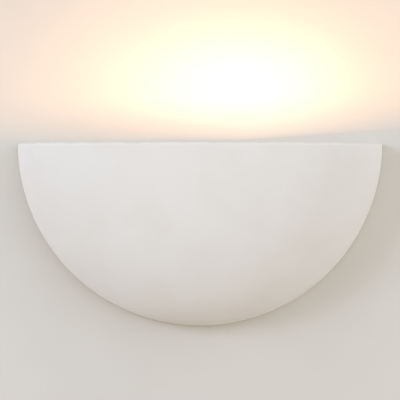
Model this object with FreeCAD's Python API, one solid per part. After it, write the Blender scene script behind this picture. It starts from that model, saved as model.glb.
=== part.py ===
import FreeCAD
import Part
import math
import os

# Half-moon plaster uplighter for a wall, as the pieces it comes apart into on a bench.
# Millimetres. The origin is the middle of the wall strap's fixing slots, on the wall. +X is to the right as
# the room sees it, +Z is up, and the bowl reaches out from the wall along -Y. The lamp lies along X.

# ---- plaster bowl ----
bowl_width = 360.0  # across the rim; the bowl is a half circle from the front, so its height is half of this
bowl_projection = 105.0  # from the wall to the middle of the rim
bowl_skin = 8.0
bowl_back = 12.0  # the cast back wall
rim_height = 57.0  # the rim above the fixing slots
rim_round = 2.5
wall_edge_round = 2.0
cavity_round = 9.0  # where the skin runs into the back wall
window_gap = 6.0  # round the chassis, above and at the sides
window_corner = 8.0

# ---- steel chassis that carries the lamp and hides the wiring ----
chassis_width = 160.0
chassis_height = 74.0
chassis_depth = 24.0
chassis_steel = 1.2
chassis_bend = 3.0
chassis_screw_x = 66.0  # the two screws that hold it to the wall strap

# ---- wall strap, bent like a top hat ----
strap_height = 25.0
strap_steel = 2.0
strap_leg_x = 54.0  # outside of each leg
strap_tab_end = 76.0
strap_bend = 2.6  # outside of a bend
wall_slot_spacing = 60.0
wall_slot_length = 12.0
wall_slot_radius = 2.25

# ---- hooks on the chassis and hangers in the bowl ----
hook_steel = 2.0
hook_seat = 20.0  # height at which the hangers rest on the hooks
hook_leg_height = 16.0
hook_leg_length = 17.4
hook_front = 20.4  # front face of the ear, from the wall
finger_width = 10.0
finger_height = 12.0
finger_offset = 21.0  # middle of the finger, out from the chassis side
shoulder = 6.0  # what is left of the ear each side of the finger
lift_clearance = 2.0  # the fingers are this far clear when the bowl is lifted right up
hanger_steel = 1.5
hanger_width = 24.0
hanger_shelf = 14.0
hanger_slot_gap = 1.0
hanger_screw_pitch = 12.5
hanger_screw_margin = 8.0  # the hanger's top edge, above the upper screw
hanger_corner = 3.0
insert_below_rim = 15.0  # the upper insert
insert_radius = 3.2
insert_length = 8.5

# ---- lampholder and its bracket ----
lamp_standoff = 28.0  # lamp axis in front of the chassis
lamp_z = 19.0  # lamp axis above the fixing slots
lampholder_rear_x = -33.0
bracket_steel = 1.5
bracket_width = 28.0
bracket_foot = 26.0
bracket_corner = 3.0
bracket_screw_spacing = 16.0
lip_gap = 2.0  # between the porcelain's lip and the lamp's housing
collar_radius = 16.0
collar_length = 19.0
barrel_radius = 13.4
lip_radius = 14.4
lip_length = 3.0
porcelain_round = 1.0
socket_floor = 9.0
socket_step = 0.6  # the shoulder that the screw shell stands on
mouth_radius = 10.4
mouth_depth = 2.5
holder_screw_spacing = 18.0
holder_screw_depth = 7.5
terminal_width = 5.0
terminal_depth = 5.5
terminal_height = 6.0
strip_width = 4.0
strip_sheet = 0.5
leaf_reach = 6.4  # the contact leaf, across the lamp's tip

# ---- screw shell of the lampholder ----
shell_start = 16.5
shell_recess = 4.0  # the shell ends this far inside the porcelain
shell_clearance = 0.3  # all round the lamp's thread
shell_sheet = 0.4
thread_pitch = 2.82
thread_depth = 0.7

# ---- lamp: small globe, E14 cap ----
globe_diameter = 45.0
lamp_length = 78.0
lamp_tip = 15.7  # the lamp's tip, from the back of the lampholder
tip_length = 2.0
tip_radius = 3.2
glass_insulator_length = 4.0
thread_radius = 6.95
cap_sheet = 0.5
cap_thread_length = 16.3
cap_collar_length = 4.0
cap_collar_radius = 8.4
dome_wall = 1.2
dome_cut = 7.5  # the dome's edge, behind the middle of the globe
housing_wall = 1.5
led_board_radius = 18.0
led_board_thickness = 1.6
led_count = 10
led_ring_radius = 13.0
led_size = 3.0
led_height = 0.7
driver_board_thickness = 1.2
driver_board_width = 13.0
driver_board_length = 18.0
capacitor_radius = 3.4
capacitor_length = 10.0
choke_radius = 3.0
choke_height = 5.0
bridge_size = (3.0, 3.5, 1.6)  # along the lamp, across the board, and off it
resistor_radius = 1.2
resistor_length = 4.5
lead_radius = 0.35

# ---- wiring ----
wire_radius = 1.0
wire_bend = 6.0
sleeve_radius = 1.5
pole_pitch = 10.0
first_pole = 4.5  # the first terminal, from the back of the lampholder
block_height = 16.0
block_depth = 14.0
block_top = -15.0
block_web_depth = 4.5
block_screw_inset = 4.0
block_tube_depth = 7.5  # the tubes' middle, from the block's foot
tube_radius = 2.1
tube_bore = 1.35
grommet_flange = 1.8
grommet_radius = 4.0
earth_screw_height = 24.0
lug_sheet = 0.8
lug_barrel_radius = 1.7
lug_barrel_length = 7.0
lug_neck = 5.0  # from the ring's middle to the barrel
earth_wire_leave = 16.0  # below the barrel, where the earth wire leaves the block's line
earth_wire_arrive = 6.0  # below the barrel, where it comes into line with the barrel
washer_teeth = 10

# ---- fasteners ----
m4_radius = 2.0
m4_head_radius = 4.0
m4_head_height = 2.4
m3_radius = 1.5
m3_head_radius = 2.8
m3_head_height = 1.9
small_screw_radius = 1.2
small_head_radius = 2.2
small_head_height = 1.2
nut_flats = 7.0
nut_height = 3.2
screw_end = 1.5  # what stands out past a nut
rivet_radius = 1.6
rivet_head_radius = 3.1
rivet_head_height = 1.1
thread_clearance = 0.05  # all round a screw in its tapped hole
hole_clearance = 0.25  # all round a screw or wire in a plain hole
seat_gap = 0.2  # a loose piece and its seat
fit_gap = 0.1  # a piece that is pushed into its place

# ---- worked out from the sizes above ----
bowl_radius = bowl_width / 2
chassis_side = chassis_width / 2
chassis_top = chassis_height / 2
chassis_inner_face = -(chassis_depth - chassis_steel)
lamp_y = -(chassis_depth + lamp_standoff)
finger_x = chassis_side + finger_offset
insert_heights = [rim_height - insert_below_rim - drop for drop in (hanger_screw_pitch, 0)]
hanger_top = insert_heights[1] + hanger_screw_margin
ear_end = finger_x + finger_width / 2 + shoulder
lift_travel = finger_height + lift_clearance
window_side = chassis_side + hook_steel + rivet_head_height + window_gap / 2
window_top = chassis_top + window_gap
window_bottom = -(chassis_top + lift_travel + window_gap / 2)
socket_tip = lamp_tip + tip_length
cap_start = socket_tip + glass_insulator_length
cap_collar_start = cap_start + cap_thread_length
housing_start = cap_collar_start + cap_collar_length
porcelain_length = housing_start - lip_gap
shell_end = porcelain_length - shell_recess
globe_radius = globe_diameter / 2
globe_centre = lamp_tip + lamp_length - globe_radius
dome_start = globe_centre - dome_cut
thread_root = thread_radius - thread_depth
shell_crest_radius = thread_radius + shell_clearance
shell_radius = shell_crest_radius + thread_depth + shell_sheet
socket_radius = shell_radius + fit_gap
strip_in = shell_radius - strip_sheet * 0.7
strip_out = strip_in + strip_sheet
terminal_out = strip_out + fit_gap + terminal_depth / 2
board_front = dome_start - 0.6
board_back = board_front - led_board_thickness
pole_places = [first_pole + pole_pitch * n for n in range(3)]
pole_xs = [lampholder_rear_x + place for place in pole_places]
tube_y = chassis_inner_face + block_tube_depth
earth_x = pole_xs[2]
lug_top = earth_screw_height - lug_neck

ALONG_X, ALONG_Y, ALONG_Z = FreeCAD.Vector(1, 0, 0), FreeCAD.Vector(0, 1, 0), FreeCAD.Vector(0, 0, 1)


# ---- small shape helpers ----
def point(x, y, z):
    return FreeCAD.Vector(x, y, z)


def block(xs, ys, zs):
    """A box between two x, two y and two z values."""
    low = point(min(xs), min(ys), min(zs))
    return Part.makeBox(abs(xs[1] - xs[0]), abs(ys[1] - ys[0]), abs(zs[1] - zs[0]), low)


def rod(radius, start, end):
    """A round bar from one point to another."""
    along = end.sub(start)
    return Part.makeCylinder(radius, along.Length, start, along)


def bar_y(radius, x, z, ys):
    """A round bar along Y between two depths."""
    return rod(radius, point(x, ys[0], z), point(x, ys[1], z))


def pipe(outer, inner, start, end):
    return rod(outer, start, end).cut(rod(inner, start, end))


def joined(shapes):
    """One solid from pieces that touch or overlap."""
    first, *rest = shapes
    return first.fuse(rest).removeSplitter()


def less(shape, cutters):
    """The shape with every cutter taken away."""
    for cutter in cutters:
        shape = shape.cut(cutter)
    return shape


def group(shapes):
    """Separate solids that share one node."""
    return Part.makeCompound(shapes)


def mirrored(shape):
    return shape.mirror(point(0, 0, 0), ALONG_X)


def outline(corners):
    """A closed flat face through straight-sided corners."""
    return Part.Face(Part.makePolygon([*corners, corners[0]]))


def turned(profile):
    """A solid of revolution about the lamp axis, from (distance from the lampholder's back, radius) pairs."""
    face = outline([point(lampholder_rear_x + along, lamp_y, lamp_z + radius) for along, radius in profile])
    return face.revolve(point(0, lamp_y, lamp_z), ALONG_X, 360)


def on_lamp(along, out=0.0, up=0.0):
    """A point given by its distance from the lampholder's back, and its place off the lamp axis."""
    return point(lampholder_rear_x + along, lamp_y + out, lamp_z + up)


def lamp_block(alongs, outs, ups):
    """A box given the same way. Out is towards the wall."""
    low, high = on_lamp(alongs[0], outs[0], ups[0]), on_lamp(alongs[1], outs[1], ups[1])
    return block((low.x, high.x), (low.y, high.y), (low.z, high.z))


def placed(shape, where, facing):
    """A shape made about local +Z, moved so that +Z faces the way given."""
    shape.Placement = FreeCAD.Placement(where, FreeCAD.Rotation(ALONG_Z, facing))
    return shape


def pan_screw(where, facing, radius, length, head_radius, head_height):
    """A pan-head screw with a cross recess: where is under the head, and facing is the way the head looks."""
    shank = radius - thread_clearance
    chamfer = shank * 0.3
    crown = head_height * 0.55
    profile = [
        point(0, 0, -length),
        point(shank - chamfer, 0, -length),
        point(shank, 0, chamfer - length),
        point(shank, 0, 0),
        point(head_radius, 0, 0),
        point(head_radius, 0, crown),
        point(0, 0, head_height),
    ]
    sides = [Part.makeLine(a, b) for a, b in zip(profile[:5], profile[1:6])]
    dome = Part.Arc(profile[5], point(head_radius * 0.62, 0, head_height * 0.9), profile[6]).toShape()
    axis = Part.makeLine(profile[6], profile[0])
    body = Part.Face(Part.Wire([*sides, dome, axis])).revolve(point(0, 0, 0), ALONG_Z, 360)
    arm, width, floor = head_radius * 0.5, head_radius * 0.17, head_height * 0.35
    recess = [block((-x, x), (-y, y), (floor, head_height + 1)) for x, y in ((arm, width), (width, arm))]
    return placed(body.cut(joined(recess)), where, facing)


def m4_screw(where, facing, length):
    return pan_screw(where, facing, m4_radius, length, m4_head_radius, m4_head_height)


def m3_screw(where, facing, length):
    return pan_screw(where, facing, m3_radius, length, m3_head_radius, m3_head_height)


def small_screw(where, facing, length):
    return pan_screw(where, facing, small_screw_radius, length, small_head_radius, small_head_height)


def hex_nut(where, facing, radius):
    """A nut with its seat at where, facing the way its free side looks."""
    across_corners = nut_flats / math.sqrt(3)
    turns = [n * math.pi / 3 for n in range(6)]
    corners = [point(across_corners * math.cos(turn), across_corners * math.sin(turn), 0) for turn in turns]
    body = outline(corners).extrude(point(0, 0, nut_height))
    body = body.common(Part.makeCone(nut_flats / 2 + nut_height, nut_flats / 2, nut_height + 1.0))
    return placed(body.cut(Part.makeCylinder(radius, nut_height)), where, facing)


def rivet(where, facing, grip):
    """A blind rivet through a stack of sheet that is grip thick, with its tail squashed behind."""
    tail = rivet_radius * 1.35
    head = Part.makeCone(rivet_head_radius, rivet_head_radius * 0.55, rivet_head_height)
    shank = Part.makeCylinder(rivet_radius, grip, point(0, 0, -grip))
    bulb = Part.makeCylinder(tail, rivet_radius, point(0, 0, -grip - rivet_radius))
    pull_hole = Part.makeCylinder(rivet_radius * 0.4, rivet_head_height + grip / 2, point(0, 0, -grip / 2))
    return placed(joined([head, shank, bulb]).cut(pull_hole), where, facing)


def bent_tube(points, bend, radius):
    """A round wire along straight runs, with a tangent arc of the given radius at every corner."""
    edges, start = [], points[0]
    for before, corner, after in zip(points, points[1:], points[2:]):
        back = before.sub(corner).normalize()
        on = after.sub(corner).normalize()
        half = back.getAngle(on) / 2
        reach = bend / math.tan(half)
        middle = point(*back).add(on).normalize().multiply(bend / math.sin(half) - bend)
        leave, join = corner.add(point(*back).multiply(reach)), corner.add(point(*on).multiply(reach))
        edges.append(Part.makeLine(start, leave))
        edges.append(Part.Arc(leave, corner.add(middle), join).toShape())
        start = join
    edges.append(Part.makeLine(start, points[-1]))
    path = Part.Wire(edges)
    section = Part.Wire(Part.makeCircle(radius, points[0], points[1].sub(points[0])))
    return path.makePipeShell([section], True, False)


# ---- the bowl and what hangs it ----
def quarter_bowl(radius, depth):
    """Half of a flattened ball: a half circle from the front, depth deep, with its flat top at the rim."""
    ellipse = Part.Ellipse(point(radius, 0, 0), point(0, -depth, 0), point(0, 0, 0))
    skin = Part.ArcOfEllipse(ellipse, 0, math.pi / 2).toShape()
    axis = Part.makeLine(point(0, -depth, 0), point(0, 0, 0))
    back = Part.makeLine(point(0, 0, 0), point(radius, 0, 0))
    solid = Part.Face(Part.Wire([skin, axis, back])).revolve(point(0, 0, 0), ALONG_Y, 180)
    solid.translate(point(0, 0, rim_height))
    return solid


def lies_in(edge, low, high):
    """Whether an edge's box lies between two corners."""
    box = edge.BoundBox
    small = 0.01
    return (
        box.XMin > low.x - small
        and box.XMax < high.x + small
        and box.YMin > low.y - small
        and box.YMax < high.y + small
        and box.ZMin > low.z - small
        and box.ZMax < high.z + small
    )


def bowl_cavity():
    """The space for the lamp, with its corner at the back wall rounded."""
    cavity = quarter_bowl(bowl_radius - bowl_skin, bowl_projection - bowl_skin)
    ahead = block((-bowl_width, bowl_width), (-bowl_back, -bowl_width), (-bowl_width, bowl_width))
    cavity = cavity.common(ahead)
    low = point(-bowl_width, -bowl_back, -bowl_width)
    high = point(bowl_width, -bowl_back, bowl_width)
    corner = [e for e in cavity.Edges if lies_in(e, low, high) and e.BoundBox.ZLength > cavity_round]
    return cavity.makeFillet(cavity_round, corner)


def window():
    """The hole in the back wall that the chassis stands in."""
    hole = block((-window_side, window_side), (1, -bowl_back - 1), (window_bottom, window_top))
    corners = [e for e in hole.Edges if e.BoundBox.YLength > bowl_back]
    return hole.makeFillet(window_corner, corners)


def insert_points():
    """Where the brass inserts open on the back wall's inner face, on both sides."""
    return [point(side * finger_x, -bowl_back, z) for side in (-1, 1) for z in insert_heights]


def insert_bar(radius, mouth):
    return rod(radius, mouth, mouth.add(point(0, insert_length, 0)))


def plaster_bowl():
    bowl = quarter_bowl(bowl_radius, bowl_projection).cut(bowl_cavity())
    wall_edge = [e for e in bowl.Edges if is_wall_outline(e)]
    bowl = bowl.makeFillet(wall_edge_round, wall_edge)
    top_low = point(-bowl_width, -bowl_width, rim_height)
    top_high = point(bowl_width, -bowl_back / 2, rim_height)
    on_top = [e for e in bowl.Edges if lies_in(e, top_low, top_high) or reaches_forward(e)]
    rim = [e for e in on_top if e.BoundBox.XLength > rim_round]
    bowl = bowl.makeFillet(rim_round, rim)
    return less(bowl, [window(), *[insert_bar(insert_radius, mouth) for mouth in insert_points()]])


def reaches_forward(edge):
    """Whether an edge is one of the rim's curved ones."""
    box = edge.BoundBox
    return abs(box.ZMin - rim_height) < 0.01 and box.ZLength < 0.01 and box.YLength > bowl_back


def is_wall_outline(edge):
    """Whether an edge is the half circle that lies on the wall."""
    box = edge.BoundBox
    return box.YMin > -0.01 and box.ZLength > bowl_radius / 2


def bowl_inserts():
    return group([insert_bar(insert_radius, p).cut(insert_bar(m4_radius, p)) for p in insert_points()])


def hanger():
    """The right-hand angle that rests on a hook: its shelf has a slot that drops over the finger."""
    xs = (finger_x - hanger_width / 2, finger_x + hanger_width / 2)
    back, top = -bowl_back, hook_seat + hanger_steel
    leaf = block(xs, (back, back - hanger_steel), (hook_seat, hanger_top))
    shelf = block(xs, (back, back - hanger_shelf), (hook_seat, top))
    top_corners = [e for e in leaf.Edges if e.BoundBox.YLength > 1 and e.BoundBox.ZMin > hook_seat + 1]
    front_corners = [e for e in shelf.Edges if e.BoundBox.ZLength > 1 and e.BoundBox.YMax < -bowl_back - 1]
    rounded = [leaf.makeFillet(hanger_corner, top_corners), shelf.makeFillet(hanger_corner, front_corners)]
    angle = joined(rounded)
    slot_x = finger_width / 2 + hanger_slot_gap
    slot_ys = (-hook_front - hanger_slot_gap, hook_steel - hook_front + hanger_slot_gap)
    slot = block((finger_x - slot_x, finger_x + slot_x), slot_ys, (hook_seat - 1, top + 1))
    plain = m4_radius + hole_clearance
    holes = [bar_y(plain, p.x, p.z, (back + 1, back - hanger_steel - 1)) for p in insert_points() if p.x > 0]
    return less(angle, [slot, *holes])


def hanger_screws():
    ahead = point(0, -hanger_steel, 0)
    return group([m4_screw(mouth.add(ahead), point(0, -1, 0), insert_length) for mouth in insert_points()])


# ---- the wall side: strap, chassis and hooks ----
def wall_strap():
    """Flat on the wall in the middle, with a tapped tab at each end that the chassis is screwed to."""
    half = strap_height / 2
    front, depth = chassis_inner_face, strap_steel
    right_half = [
        point(0, 0, -half),
        point(strap_leg_x, 0, -half),
        point(strap_leg_x, front + depth, -half),
        point(strap_tab_end, front + depth, -half),
        point(strap_tab_end, front, -half),
        point(strap_leg_x - depth, front, -half),
        point(strap_leg_x - depth, -depth, -half),
        point(0, -depth, -half),
    ]
    side = outline(right_half).extrude(point(0, 0, strap_height))
    outer = [(strap_leg_x, 0.0), (strap_leg_x - depth, front)]
    inner = [(strap_leg_x, front + depth), (strap_leg_x - depth, -depth)]
    side = side.makeFillet(strap_bend, upright_edges(side, outer))
    side = side.makeFillet(strap_bend - depth, upright_edges(side, inner))
    tab_corners = [e for e in short_edges(side, strap_steel) if abs(e.BoundBox.XMin - strap_tab_end) < 0.01]
    side = side.makeFillet(strap_bend, tab_corners)
    strap = joined([side, mirrored(side)])
    slots = [wall_slot(s * wall_slot_spacing / 2) for s in (-1, 1)]
    taps = [bar_y(m4_radius, s * chassis_screw_x, 0, (front - 1, 0)) for s in (-1, 1)]
    return less(strap, slots + taps)


def upright_edges(shape, places):
    """The edges along Z that stand at the given (x, y) places."""
    found = []
    for edge in shape.Edges:
        box = edge.BoundBox
        stands = box.ZLength > 1 and box.XLength < 0.01
        if stands and any(math.hypot(box.XMin - x, box.YMin - y) < 0.01 for x, y in places):
            found.append(edge)
    return found


def short_edges(shape, length):
    """The straight edges along Y of the given length."""
    boxes = [(edge, edge.BoundBox) for edge in shape.Edges]
    return [e for e, box in boxes if abs(box.YLength - length) < 0.01 and box.XLength + box.ZLength < 0.01]


def wall_slot(x):
    """A slotted hole through the strap's flat middle, along X."""
    straight = wall_slot_length / 2 - wall_slot_radius
    ys = (1, -strap_steel - 1)
    ends = [bar_y(wall_slot_radius, x + s * straight, 0, ys) for s in (-1, 1)]
    middle = block((x - straight, x + straight), ys, (-wall_slot_radius, wall_slot_radius))
    return joined([middle, *ends])


def bracket_screw_points():
    """On the chassis front, under the heads of the two screws in the lamp bracket's foot."""
    x = lampholder_rear_x - bracket_steel - bracket_foot / 2
    return [point(x, -chassis_depth, lamp_z + s * bracket_screw_spacing / 2) for s in (-1, 1)]


def block_screw_points():
    """On the chassis' inner face, between the terminal block's poles."""
    middle_z = block_top - block_height / 2
    return [point((a + b) / 2, chassis_inner_face, middle_z) for a, b in zip(pole_xs, pole_xs[1:])]


def grommet_slot(radius, ys):
    """The long round-ended shape of the grommet, between two depths."""
    ends = [rod(radius, point(x, ys[0], lamp_z), point(x, ys[1], lamp_z)) for x in pole_xs[:2]]
    return joined([block(pole_xs[:2], ys, (lamp_z - radius, lamp_z + radius)), *ends])


def rounded_tray(side, top, ys, radius):
    """A box with its upright corners and its front edges rounded."""
    tray = block((-side, side), ys, (-top, top))
    front = min(ys)
    edges = [e for e in tray.Edges if e.BoundBox.YLength > 1 or e.BoundBox.YMax < front + 0.1]
    return tray.makeFillet(radius, edges)


def chassis_box():
    """A pressed steel tray, open to the wall."""
    tray = rounded_tray(chassis_side, chassis_top, (0, -chassis_depth), chassis_bend)
    side, top = chassis_side - chassis_steel, chassis_top - chassis_steel
    inside = rounded_tray(side, top, (1, chassis_inner_face), chassis_bend - chassis_steel)
    plain = m4_radius + hole_clearance
    ys = (-chassis_depth - 1, chassis_inner_face + 1)
    m4_places = [(p.x, p.z) for p in bracket_screw_points()]
    m4_places += [(s * chassis_screw_x, 0) for s in (-1, 1)]
    m4_places.append((earth_x, earth_screw_height))
    holes = [bar_y(plain, x, z, ys) for x, z in m4_places]
    holes += [bar_y(small_screw_radius, p.x, p.z, ys) for p in block_screw_points()]
    holes.append(grommet_slot(grommet_radius - 1.0, ys))
    holes += [
        rod(rivet_radius, point(s * (side - 1), p.y, p.z), point(s * (chassis_side + 1), p.y, p.z))
        for p in hook_rivet_points()
        for s in (-1, 1)
    ]
    return less(tray.cut(inside), holes)


def chassis_screws():
    length = chassis_steel + strap_steel * 3
    heads = [point(s * chassis_screw_x, -chassis_depth, 0) for s in (-1, 1)]
    return group([m4_screw(head, point(0, -1, 0), length) for head in heads])


def hook_rivet_points():
    """On the right-hand hook's leg, along its middle."""
    z = hook_seat - hook_leg_height / 2
    back = -(hook_front - hook_leg_length)
    return [point(chassis_side + hook_steel, back - hook_leg_length * share, z) for share in (0.24, 0.64)]


def hook():
    """The right-hand hook: a leg riveted to the chassis side, and an ear with an upright finger."""
    bottom = hook_seat - hook_leg_height
    leg_xs = (chassis_side, chassis_side + hook_steel)
    leg = block(leg_xs, (-hook_front, hook_leg_length - hook_front), (bottom, hook_seat))
    half = finger_width / 2
    taper = half * 0.3
    ear = [
        (chassis_side, bottom),
        (finger_x, bottom),
        (ear_end, hook_seat - hook_leg_height / 2),
        (ear_end, hook_seat),
        (finger_x + half, hook_seat),
        (finger_x + half, hook_seat + finger_height - taper * 2),
        (finger_x + half - taper, hook_seat + finger_height),
        (finger_x - half + taper, hook_seat + finger_height),
        (finger_x - half, hook_seat + finger_height - taper * 2),
        (finger_x - half, hook_seat),
        (chassis_side, hook_seat),
    ]
    face = outline([point(x, -hook_front, z) for x, z in ear])
    shape = joined([leg, face.extrude(point(0, hook_steel, 0))])
    outside, inside = point(1, 0, 0), point(-hook_steel - 1, 0, 0)
    return less(shape, [rod(rivet_radius, p.add(outside), p.add(inside)) for p in hook_rivet_points()])


def hook_rivets():
    right = [rivet(p, ALONG_X, hook_steel + chassis_steel) for p in hook_rivet_points()]
    return group(right + [mirrored(r) for r in right])


# ---- lamp bracket ----
def holder_screw_points():
    """On the bracket arm's far face, under the heads of the screws that hold the porcelain."""
    return [on_lamp(-bracket_steel, 0, s * holder_screw_spacing / 2) for s in (-1, 1)]


def lamp_bracket():
    """An angle: its foot on the chassis front, and its arm behind the lampholder with a round end."""
    half = bracket_width / 2
    zs = (lamp_z - half, lamp_z + half)
    arm_x = (lampholder_rear_x - bracket_steel, lampholder_rear_x)
    foot_end = lampholder_rear_x - bracket_steel - bracket_foot
    foot = block((foot_end, lampholder_rear_x), (-chassis_depth, -chassis_depth - bracket_steel), zs)
    arm = block(arm_x, (-chassis_depth, lamp_y), zs)
    round_end = rod(half, on_lamp(-bracket_steel), on_lamp(0))
    corners = [e for e in foot.Edges if abs(e.BoundBox.XMax - foot_end) < 0.01 and e.BoundBox.YLength > 0.1]
    shape = joined([foot.makeFillet(bracket_corner, corners), arm, round_end])
    bend = [
        e
        for e in shape.Edges
        if e.BoundBox.ZLength > 1
        and abs(e.BoundBox.XMin - lampholder_rear_x) < 0.01
        and abs(e.BoundBox.YMin + chassis_depth) < 0.01
        and e.BoundBox.YLength < 0.01
    ]
    shape = shape.makeFillet(bracket_steel, bend)
    foot_ys = (1 - chassis_depth, -chassis_depth - bracket_steel - 1)
    holes = [bar_y(m4_radius + hole_clearance, p.x, p.z, foot_ys) for p in bracket_screw_points()]
    ahead, behind = point(bracket_steel + 1, 0, 0), point(-1, 0, 0)
    holes += [rod(m3_radius + hole_clearance, p.add(behind), p.add(ahead)) for p in holder_screw_points()]
    return less(shape, holes)


def lamp_bracket_screws():
    length = bracket_steel + chassis_steel + nut_height + screw_end
    heads = [p.add(point(0, -bracket_steel, 0)) for p in bracket_screw_points()]
    return group([m4_screw(head, point(0, -1, 0), length) for head in heads])


def lamp_bracket_nuts():
    seats = [p.add(point(0, chassis_steel, 0)) for p in bracket_screw_points()]
    return group([hex_nut(seat, ALONG_Y, m4_radius) for seat in seats])


# ---- lampholder ----
def lampholder_body():
    """Glazed porcelain, turned, with a pocket for each terminal on the side that faces the chassis."""
    soft = porcelain_round
    floor_radius = socket_radius - socket_step
    lip_start = porcelain_length - lip_length
    body = turned([
        (0, 0),
        (0, collar_radius - soft),
        (soft, collar_radius),
        (collar_length - soft, collar_radius),
        (collar_length, collar_radius - soft),
        (collar_length + soft, barrel_radius),
        (lip_start - soft, barrel_radius),
        (lip_start, lip_radius),
        (porcelain_length - soft, lip_radius),
        (porcelain_length, lip_radius - soft),
        (porcelain_length, mouth_radius),
        (porcelain_length - mouth_depth, socket_radius),
        (shell_start, socket_radius),
        (shell_start, floor_radius),
        (socket_floor, floor_radius),
        (socket_floor, 0),
    ])
    side = terminal_width / 2 + seat_gap
    bottom = terminal_height / 2 + seat_gap
    cuts = []
    pocket_outs = (strip_out, terminal_out + terminal_depth / 2 + seat_gap)
    wire_hole = wire_radius + hole_clearance
    for along in pole_places[:2]:
        cuts.append(lamp_block((along - side, along + side), pocket_outs, (-bottom, collar_radius)))
        cuts.append(rod(wire_hole, on_lamp(along, terminal_out), on_lamp(along, collar_radius + 1)))
    half = strip_width / 2 + seat_gap
    strip_slot = (first_pole - terminal_width / 2, shell_start + 1)
    strip_outs = (strip_in - seat_gap - strip_sheet, strip_out + seat_gap)
    cuts.append(lamp_block(strip_slot, strip_outs, (-half, half)))
    reach = bracket_steel + holder_screw_depth + 0.5
    cuts += [rod(m3_radius, p, p.add(point(reach, 0, 0))) for p in holder_screw_points()]
    return less(body, cuts)


def lampholder_shell():
    """Pressed brass screw shell, its thread drawn as rings, with a foot under the second terminal."""
    rings = int((shell_end - shell_start - 2) / thread_pitch)
    inner = [(shell_start, shell_crest_radius + thread_depth)]
    for n in range(rings):
        at = shell_start + 1 + thread_pitch * n
        inner += [(at, shell_crest_radius + thread_depth), (at + thread_pitch / 2, shell_crest_radius)]
    inner.append((shell_end, shell_crest_radius + thread_depth))
    outer = [(along, radius + shell_sheet) for along, radius in inner]
    half = strip_width / 2
    foot_alongs = (pole_places[1] - terminal_width / 4, shell_start + shell_sheet * 2)
    foot = lamp_block(foot_alongs, (strip_in, strip_out), (-half, half))
    return joined([turned(inner + outer[::-1]), foot])


def contact_strip():
    """Bronze strip from under the first terminal to the socket's floor, where the leaf stands on it."""
    low_side = -leaf_reach / 2
    back = first_pole - terminal_width / 2 + seat_gap
    profile = [
        (socket_floor, low_side),
        (socket_floor, strip_in),
        (back, strip_in),
        (back, strip_out),
        (socket_floor + strip_sheet, strip_out),
        (socket_floor + strip_sheet, low_side),
    ]
    face = outline([on_lamp(along, out, -strip_width / 2) for along, out in profile])
    return face.extrude(point(0, 0, strip_width))


def contact_leaf():
    """Sprung bronze leaf: it stands up from the strip and crosses under the lamp's tip."""
    low_side = -leaf_reach / 2
    foot = socket_floor + strip_sheet + fit_gap
    top = lamp_tip - seat_gap
    sheet = strip_sheet
    profile = [
        (foot, low_side),
        (top - sheet * 4, low_side),
        (top - sheet, low_side + sheet * 3),
        (top, 0),
        (top - sheet * 2, -low_side),
        (top - sheet * 3, -low_side),
        (top - sheet, sheet * 0.2),
        (top - sheet * 2, low_side + sheet * 3.4),
        (top - sheet * 4.4, low_side + sheet),
        (foot, low_side + sheet),
    ]
    face = outline([on_lamp(along, out, -strip_width / 2) for along, out in profile])
    return face.extrude(point(0, 0, strip_width))


def lampholder_terminals():
    made = []
    for along in pole_places[:2]:
        x, y, z = terminal_width / 2, terminal_depth / 2, terminal_height / 2
        body = lamp_block((along - x, along + x), (terminal_out - y, terminal_out + y), (-z, z))
        middle, outside = on_lamp(along, terminal_out - y / 2), on_lamp(along, terminal_out + y + 1)
        bore = rod(wire_radius + fit_gap, middle, outside)
        tap = rod(small_screw_radius, on_lamp(along, terminal_out), on_lamp(along, terminal_out, z + 1))
        made.append(less(body, [bore, tap]))
    return group(made)


def lampholder_terminal_screws():
    top = terminal_height / 2
    length = top - wire_radius - fit_gap
    heads = [on_lamp(along, terminal_out, top) for along in pole_places[:2]]
    return group([small_screw(head, ALONG_Z, length) for head in heads])


def lampholder_screws():
    length = bracket_steel + holder_screw_depth
    return group([m3_screw(p, point(-1, 0, 0), length) for p in holder_screw_points()])


# ---- lamp ----
def lamp_tip_contact():
    return turned([
        (lamp_tip, 0),
        (lamp_tip, tip_radius * 0.4),
        (lamp_tip + tip_length * 0.25, tip_radius * 0.8),
        (lamp_tip + tip_length * 0.6, tip_radius),
        (socket_tip, tip_radius),
        (socket_tip, 0),
    ])


def lamp_cap_insulator():
    """Black glass between the tip and the threaded cap, bored for the middle lead."""
    return turned([
        (socket_tip, lead_radius + fit_gap),
        (socket_tip, tip_radius + 0.3),
        (cap_start, thread_root),
        (cap_start + cap_sheet * 2, thread_root - cap_sheet),
        (cap_start + cap_sheet * 2, lead_radius + fit_gap),
    ])


def lamp_cap():
    """Plated brass E14 cap. Its thread is drawn as rings, clear of the shell's."""
    turns = int(cap_thread_length / thread_pitch)
    outer = [(cap_start, thread_root)]
    for n in range(turns):
        at = cap_start + thread_pitch * n
        outer += [
            (at + thread_pitch * 0.3, thread_root),
            (at + thread_pitch * 0.5, thread_radius),
            (at + thread_pitch * 0.7, thread_radius),
            (at + thread_pitch, thread_root),
        ]
    outer += [(cap_collar_start, cap_collar_radius - 0.6), (cap_collar_start + 0.6, cap_collar_radius)]
    outer += [(housing_start, cap_collar_radius)]
    inner = [
        (housing_start, cap_collar_radius - cap_sheet),
        (cap_collar_start + 1.2, cap_collar_radius - cap_sheet),
        (cap_collar_start - 0.4, thread_root - cap_sheet),
        (cap_start, thread_root - cap_sheet),
    ]
    return turned(outer + inner).cut(lamp_cap_insulator())


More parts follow.
